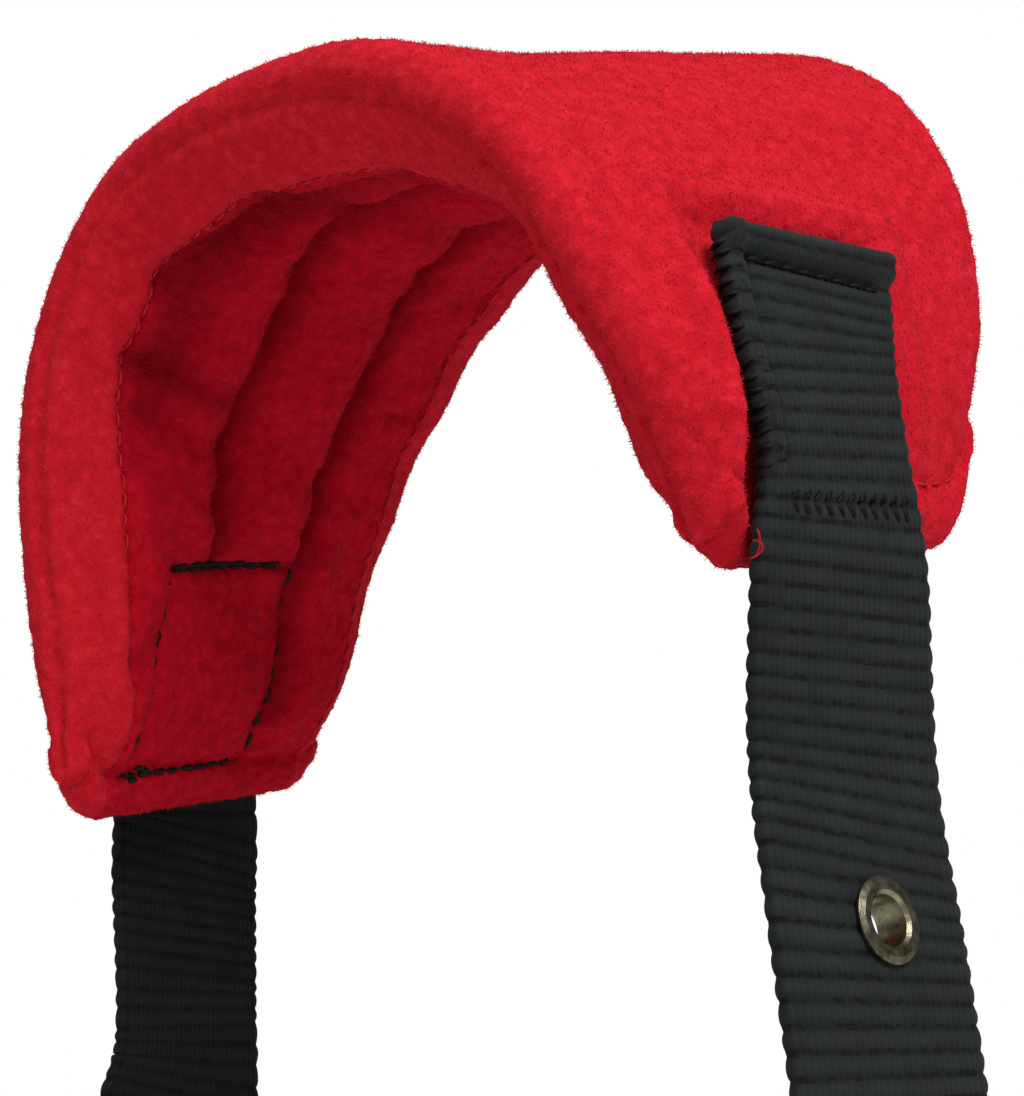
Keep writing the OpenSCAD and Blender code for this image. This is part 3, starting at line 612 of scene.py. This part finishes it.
def folded_end(s, x, h, side):
    """The end is turned under and sewn, and the edge towards the nose is overcast, so both stand up."""
    on_pad = smooth(26 - s, 0, 5)
    roll = 1.1 * np.sqrt(np.clip(1 - ((s - 1.7) / 1.7) ** 2, 0, 1)) * (s < 3.4)
    row = 0.85 * np.exp(-((s - 4.0) / 0.55) ** 2) * (np.abs(x) < 9.6)
    edge = 0.45 * smooth(-x, 9.6, 10.6) * on_pad * (0.6 + 0.4 * np.abs(np.sin(math.pi * s / 1.5)))
    edge -= 0.4 * np.exp(-((x + 9.4) / 0.45) ** 2) * on_pad * smooth(s, 3, 5)
    flatter = 0.12 * on_pad * smooth(s, 4, 8)
    drawn_in = 1 - 0.08 * smooth(34 - s, 0, 14)
    slant = -0.19 * x * smooth(36 - s, 0, 34)
    return x * drawn_in, h + (roll - row + edge + flatter) * smooth(side, 0, 0.8), slant


right_strap, *right_frame = webbing("strap_holes_webbing", mids, dirs, WEB_W, WEB_T, 52, tip=6.0,
                                    squeeze=folded_end)


def cut(piece, cutters):
    """Takes the cutters out of the piece and removes them."""
    for cutter in cutters:
        hole = piece.modifiers.new("hole", "BOOLEAN")
        hole.operation = "DIFFERENCE"
        hole.solver = "EXACT"
        hole.object = cutter
        bpy.ops.object.select_all(action="DESELECT")
        bpy.context.view_layer.objects.active = piece
        piece.select_set(True)
        bpy.ops.object.modifier_apply(modifier="hole")
        bpy.data.objects.remove(cutter)


# The strap's holes stand where the eyelet barrels are: one cluster of vertices for each eyelet.
vertices = np.array([v.co for v in nodes["eyelets"].data.vertices])
mid, across, normal, run_s = right_frame
order = np.argmin(np.linalg.norm(vertices[:, None] - mid[None, ::4] * 0.001, axis=2), axis=1) * 4
groups, last = [], None
for i in np.argsort(order):
    if last is None or run_s[order[i]] - last > 8:
        groups.append([])
    groups[-1].append(i)
    last = run_s[order[i]]
cutters = []
for group in groups:
    points = vertices[group]
    centre = points.mean(0)
    k = np.argmin(np.linalg.norm(mid * 0.001 - centre, axis=1))
    bpy.ops.mesh.primitive_cylinder_add(vertices=32, radius=0.0029, depth=0.006, location=centre)
    cutter = bpy.context.object
    cutter.rotation_euler = Vector(normal[k]).to_track_quat("Z", "Y").to_euler()
    cutters.append(cutter)
cut(right_strap, cutters)
bpy.ops.mesh.primitive_cube_add(size=1, location=(0, 0, 0))
slot_cut = bpy.context.object
slot_cut.scale = (0.011, 0.005, 0.010)
slot_cut.location = [c * 0.001 for c in in_run(1.5, 0)]
slot_cut.rotation_euler = (0, RUN, 0)
cut(left_strap, [slot_cut])
for piece, node, cloth in ((left_strap, "strap_buckle", black_nylon),
                           (right_strap, "strap_holes", lighter_nylon)):
    piece.data.materials.clear()
    piece.data.materials.append(cloth.data)
    bpy.context.view_layer.update()
    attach(piece, "halter")
    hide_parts(node)

# ---------------------------------------------------------------- keepers
# Two short loops of the same black webbing hold the tail of the strap down. One is sewn beside the
# buckle, the other slides along the strap.
for name, node, run_x, body in (("fixed_keeper_loop", "fixed_keeper", -12.8, "halter"),
                                ("sliding_keeper_loop", "sliding_keeper", -25.0, "tail_keeper")):
    top, low, side_y, corner = 2.025 + 0.6, -3.975 - 0.6, 13.5, 0.9
    loop = [(0.0, top), (6.0, top), (11.5, top)]
    for turn_y, turn_z, start in ((12.6, top - corner, 90), (12.6, low + corner, 0),
                                  (-12.6, low + corner, -90), (-12.6, top - corner, -180)):
        loop += [(turn_y + corner * math.cos(math.radians(start - a)),
                  turn_z + corner * math.sin(math.radians(start - a))) for a in (0, 30, 60, 90)]
        if start == 90:
            loop += [(side_y, (top + low) / 2)]
        elif start == 0:
            loop += [(6.0, low), (0.0, low), (-6.0, low)]
        elif start == -90:
            loop += [(-side_y, (top + low) / 2)]
    loop += [(-6.0, top), (0.0, top)]
    mids = []
    for y, z in loop:
        x, _, height = in_run(run_x, z)
        mids.append([x, y, height])
    along = [math.cos(RUN), 0, -math.sin(RUN)]
    mids, dirs = stations(mids, [along] * len(mids), 3)
    keeper, *_ = webbing(name, mids, dirs, 7.0, 1.1, 18)
    keeper.data.materials.clear()
    keeper.data.materials.append(black_nylon.data)
    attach(keeper, body)
    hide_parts(node)

# ---------------------------------------------------------------- nose loop
# Narrow 15 mm webbing hung on the throat ring, its ends lapped and sewn under a fleece sleeve that
# lies on the dog's muzzle. The sleeve is the same red fleece, softly padded.
hang_z, open_z, ring_x, nose_y = -99.0222, -129.0222, 12.0, -3.0
half_loop = [(2.4 * math.sin(math.radians(a)), hang_z + 2.4 * math.cos(math.radians(a))) for a in (0, 30, 60)]
half_loop += [(2.4, hang_z - z) for z in (2, 8, 16, 24, 27)]
half_loop += [(31 * math.cos(math.radians(a)), open_z - 39 + 37 * math.sin(math.radians(a)))
              for a in (64, 36, 8, -20, -48, -74)]
half_loop += [(0, open_z - 76)]
nose_mids = [[ring_x + x, nose_y, z] for x, z in half_loop]
nose_mids += [[ring_x - x, nose_y, z] for x, z in half_loop[-2::-1]]
mids, dirs = stations(nose_mids, [[0, 1, 0]] * len(nose_mids), 4)
nose_strap, *_ = webbing("nose_strap_webbing", mids, dirs, 15.0, 1.45, 32)
nose_strap.data.materials.clear()
nose_strap.data.materials.append(black_nylon.data)
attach(nose_strap, "nose_loop")
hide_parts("nose_strap")

k = np.linspace(11.0, 17.0, 150)
mid = curve(np.array(nose_mids), k)
heading = unit(np.gradient(mid, axis=0))
normal = unit(np.cross(heading, [0, 1, 0]))
turn = np.linspace(0, 2 * math.pi, 81)
end = np.minimum(np.arange(150), 149 - np.arange(150))[:, None] / 149 * 96
swell = np.sqrt(np.clip(1 - ((2.2 - np.minimum(end, 2.2)) / 2.2) ** 2, 0.0, 1))
stitched = 1 - 0.32 * np.exp(-((end - 4.2) / 0.9) ** 2)
wide = np.sign(np.cos(turn)) * np.abs(np.cos(turn)) ** 0.45 * 10.6
high = np.sign(np.sin(turn)) * np.abs(np.sin(turn)) ** 0.75 * 3.1
edge_row = 1 - 0.22 * np.exp(-((np.abs(wide) - 8.4) / 0.7) ** 2)
x = wide[None] * (0.86 + 0.14 * swell)
h = high[None] * swell * stitched * edge_row[None]
outside = mid[:, None] + np.array([0, 1, 0]) * x[..., None] + normal[:, None] * h[..., None]
inside = mid[:, None] + np.array([0, 1, 0]) * (wide[None] / 10.6 * 7.75)[..., None] \
    + normal[:, None] * (np.clip(high * 3, -0.95, 0.95))[None, :, None]
outside[0], outside[-1] = (outside[1] + inside[0]) / 2, (outside[-2] + inside[-1]) / 2
skin = np.concatenate([outside, inside[::-1], outside[:1]])
sleeve = bent_grid("nose_sleeve_fleece", skin, np.zeros(skin.shape[:2] + (2,)))
clumps(sleeve, 1.7, -0.5, "VORONOI_F1")
sleeve.data.materials.append(cover_cloth.data)
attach(sleeve, "nose_loop")
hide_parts("nose_sleeve")
tufts = pile("nose_sleeve_pile", sleeve, 20000, 0.38, 8, ("BC1422", "D82A36"))
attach(tufts, "nose_loop")

# ---------------------------------------------------------------- sewing thread
# Bonded nylon thread, about half a millimetre thick: black on the straps and showing through on the
# lining as a box, red along the turned-in rim. Each stitch lies on the cloth and dips in at its ends.
def stitches(name, rows, radius, code, body):
    """One mesh of short bent tubes; each row is a list of millimetre places along one stitch."""
    points, faces = [], []
    for row in rows:
        row = np.array(row, float)
        heading = unit(np.gradient(row, axis=0))
        first = unit(np.cross(heading, [0.31, 0.52, 0.79]))
        second = np.cross(heading, first)
        base = len(points)
        for i, place in enumerate(row):
            size = radius * (0.55 if i in (0, len(row) - 1) else 1.0)
            for a in np.linspace(0, 2 * math.pi, 7)[:-1]:
                points.append(place + (first[i] * math.cos(a) + second[i] * math.sin(a)) * size)
        for i in range(len(row) - 1):
            for j in range(6):
                a, b = base + i * 6 + j, base + i * 6 + (j + 1) % 6
                faces.append((a, b, b + 6, a + 6))
        faces.append(tuple(base + j for j in range(5, -1, -1)))
        faces.append(tuple(base + (len(row) - 1) * 6 + j for j in range(6)))
    mesh = bpy.data.meshes.new(name)
    mesh.from_pydata((np.array(points) * 0.001).tolist(), [], faces)
    piece = bpy.data.objects.new(name, mesh)
    scene.collection.objects.link(piece)
    bpy.ops.object.select_all(action="DESELECT")
    piece.select_set(True)
    bpy.context.view_layer.objects.active = piece
    bpy.ops.object.shade_smooth()
    m = Material(name + "_thread", Base_Color=colour(code), Roughness=0.6, Specular_IOR_Level=0.2)
    place = m.add("ShaderNodeTexCoord").outputs["Object"]
    twist = m.add("ShaderNodeTexNoise", Vector=place, Scale=3500.0, Detail=2.0)
    bump = m.add("ShaderNodeBump", Strength=0.5, Distance=0.0001, Height=twist.outputs["Fac"])
    m.set(m.shader, "Normal", bump.outputs[0])
    piece.data.materials.append(m.data)
    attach(piece, body)
    return piece


def laid(cloth, start, finish, out, lift=0.12, bow=0.18, steps=6):
    """One stitch from start to finish, dropped onto the cloth from its outer side."""
    row = []
    for t in np.linspace(0, 1, steps):
        place = (1 - t) * np.array(start, float) + t * np.array(finish, float)
        found, hit, _, _ = cloth.ray_cast(Vector((place + out * 16) * 0.001), Vector(-out), distance=0.016)
        if not found:
            return None
        height = lift + bow * math.sin(math.pi * t) - 0.3 * (t in (0.0, 1.0))
        row.append(np.array(hit) * 1000 + out * height)
    if max(np.linalg.norm(b - a) for a, b in zip(row[:-1], row[1:])) > 1.6:
        return None
    return row


def sewn(cloth, line, pitch, share, facing, wander=0.0, seed=1):
    """Stitches along a line of (u, v) points on the band, on its inner (-1) or outer (1) face."""
    k = np.linspace(0, len(line) - 1, 400)
    path = np.stack([np.interp(k, range(len(line)), [p[i] for p in line]) for i in (0, 1)], 1)
    spots = band(corner_cut(path[:, 0], path[:, 1]), path[:, 1], 0.0)
    outward = unit(band(path[:, 0], path[:, 1], 1.0 * facing) - band(path[:, 0], path[:, 1], 0.0))
    s = np.concatenate([[0], np.cumsum(np.linalg.norm(np.diff(spots, axis=0), axis=1))])
    rng = np.random.default_rng(seed)
    rows = []
    for begin in np.arange(0.3, s[-1] - pitch, pitch):
        ends = [np.searchsorted(s, begin), min(np.searchsorted(s, begin + pitch * share), 399)]
        a, b = spots[ends[0]], spots[ends[1]]
        off = rng.normal(size=3) * wander
        row = laid(cloth, a + off, b + off, outward[ends[0]])
        if row is not None:
            rows.append(row)
    return rows


box = sewn(lining, [(0.155, 0.285), (0.160, 0.45), (0.163, 0.65)], 2.6, 0.96, -1, 0.05, 1)
box += sewn(lining, [(0.157, 0.285), (0.162, 0.45), (0.165, 0.65)], 2.6, 0.96, -1, 0.05, 2)
box += sewn(lining, [(0.163, 0.655), (0.118, 0.662), (0.06, 0.640), (0.033, 0.645)], 3.0, 0.72, -1, 0.08, 3)
box += sewn(lining, [(0.152, 0.27), (0.1, 0.225), (0.04, 0.175)], 3.0, 0.72, -1, 0.08, 4)
box += sewn(lining, [(0.028, 0.17), (0.029, 0.40), (0.031, 0.64)], 2.6, 0.9, -1, 0.08, 5)
box += sewn(lining, [(0.030, 0.17), (0.031, 0.22), (0.030, 0.26)], 1.2, 1.3, -1, 0.35, 6)
stitches("box_stitch", box, 0.34, "120C0E", "halter")
rim_row = sewn(cover, [(0.16, 0.108), (0.5, 0.108), (0.93, 0.108)], 2.6, 0.7, -1, 0.04, 7)
rim_row += sewn(cover, [(0.05, 0.892), (0.5, 0.892), (0.93, 0.892)], 2.6, 0.7, -1, 0.04, 8)
rim_row += sewn(cover, [(0.032, 0.08), (0.032, 0.90)], 2.6, 0.7, 1, 0.04, 9)
rim_row += sewn(cover, [(0.968, 0.08), (0.968, 0.90)], 2.6, 0.7, 1, 0.04, 10)
stitches("rim_stitch", rim_row, 0.15, "C01828", "halter")

mid, across, normal, run_s = right_frame


def on_strap(s, x, h):
    i = int(np.clip(np.searchsorted(run_s, s), 0, len(run_s) - 1))
    heading = np.cross(across[i], normal[i])
    return mid[i] + across[i] * x + normal[i] * h - heading * 0.19 * x * smooth(36 - s, 0, 34)


rng = np.random.default_rng(12)
hem = []
for x in np.arange(-8.6, 8.2, 2.3):
    hem.append([on_strap(4.0 + rng.normal() * 0.06, x + 1.9 * t, 0.35 + 0.5 * math.sin(math.pi * t))
                for t in np.linspace(0, 1, 6)])
for row_s, lean in ((26.0, 1), (27.3, -1)):
    for x in np.arange(-8.5, 9.6, 1.7):
        ends = (0.7 * lean, -0.7 * lean)
        hem.append([on_strap(row_s + ends[0] * (1 - t) + ends[1] * t, x + 1.2 * t + rng.normal() * 0.12,
                             0.62 + 0.38 * math.sin(math.pi * t)) for t in np.linspace(0, 1, 6)])
for s in np.arange(2.6, 23.0, 1.35):
    slip = rng.normal() * 0.12
    hem.append([on_strap(s + slip + 0.5 * t, x, h) for t, x, h in
                ((0, -9.0, 0.4), (0.15, -9.5, 1.12), (0.35, -10.5, 1.24),
                 (0.55, -11.4, 0.9), (0.75, -11.75, 0.0), (1, -11.4, -0.9))])
stitches("strap_stitch", hem, 0.24, "08090A", "halter")

loose = []
for turn_seed, length in ((0.0, 2.2), (1.1, 1.5)):
    t = np.linspace(0, 1, 12)[:, None]
    base = on_strap(30.0 + turn_seed, -12.9, 0.6)
    loose.append(base + across[0] * (-0.9 * t - 0.5 * np.sin(5 * t + turn_seed))
                 + np.array([[0.35, 0, -1.0]]) * t * length + normal[0] * 0.8 * np.sin(4 * t))
stitches("loose_thread", loose, 0.09, "B8141F", "halter")

# ---------------------------------------------------------------- metal and moulded parts
# Eyelets and washers are pressed brass with a worn dark nickel plate; buckle and rings are bent and
# welded steel wire, nickel plated; the slide is moulded black acetal with a matt face.
def metal(name, low, high, roughness, scale, scratch):
    m = Material(name, Metallic=1.0)
    place = m.add("ShaderNodeTexCoord").outputs["Object"]
    cloud = m.add("ShaderNodeTexNoise", Vector=place, Scale=scale, Detail=5.0, Roughness=0.6)
    fine = m.add("ShaderNodeTexNoise", Vector=place, Scale=scale * 9, Detail=2.0)
    m.set(m.shader, "Base Color", m.ramp(cloud.outputs["Fac"], [(0.35, low), (0.65, high)]))
    m.set(m.shader, "Roughness", m.maths("MULTIPLY_ADD", cloud.outputs["Fac"], 0.25, roughness - 0.12))
    bump = m.add("ShaderNodeBump", Strength=scratch, Distance=0.00004, Height=fine.outputs["Fac"])
    m.set(m.shader, "Normal", bump.outputs[0])
    return m


dark_nickel = metal("dark_nickel_plate", "5E5A48", "9A947C", 0.30, 900.0, 0.5)
bright_nickel = metal("nickel_plated_wire", "8E8A82", "C4C0B8", 0.24, 500.0, 0.3)
acetal = Material("black_acetal", Base_Color=colour("17191A"), Roughness=0.42, IOR=1.48)
grain = acetal.add("ShaderNodeTexNoise", Vector=acetal.add("ShaderNodeTexCoord").outputs["Object"],
                   Scale=3000.0, Detail=2.0)
acetal.set(acetal.shader, "Normal", acetal.add("ShaderNodeBump", Strength=0.3, Distance=0.00003,
                                               Height=grain.outputs["Fac"]).outputs[0])
for cloth, names in ((dark_nickel, ("eyelets", "eyelet_washers")), (acetal, ("nose_slide",)),
                     (bright_nickel, ("buckle_frame", "buckle_roller", "buckle_tongue")),
                     (bright_nickel, ("throat_ring", "lead_ring"))):
    for name in names:
        for slot in nodes[name].material_slots:
            slot.material = cloth.data
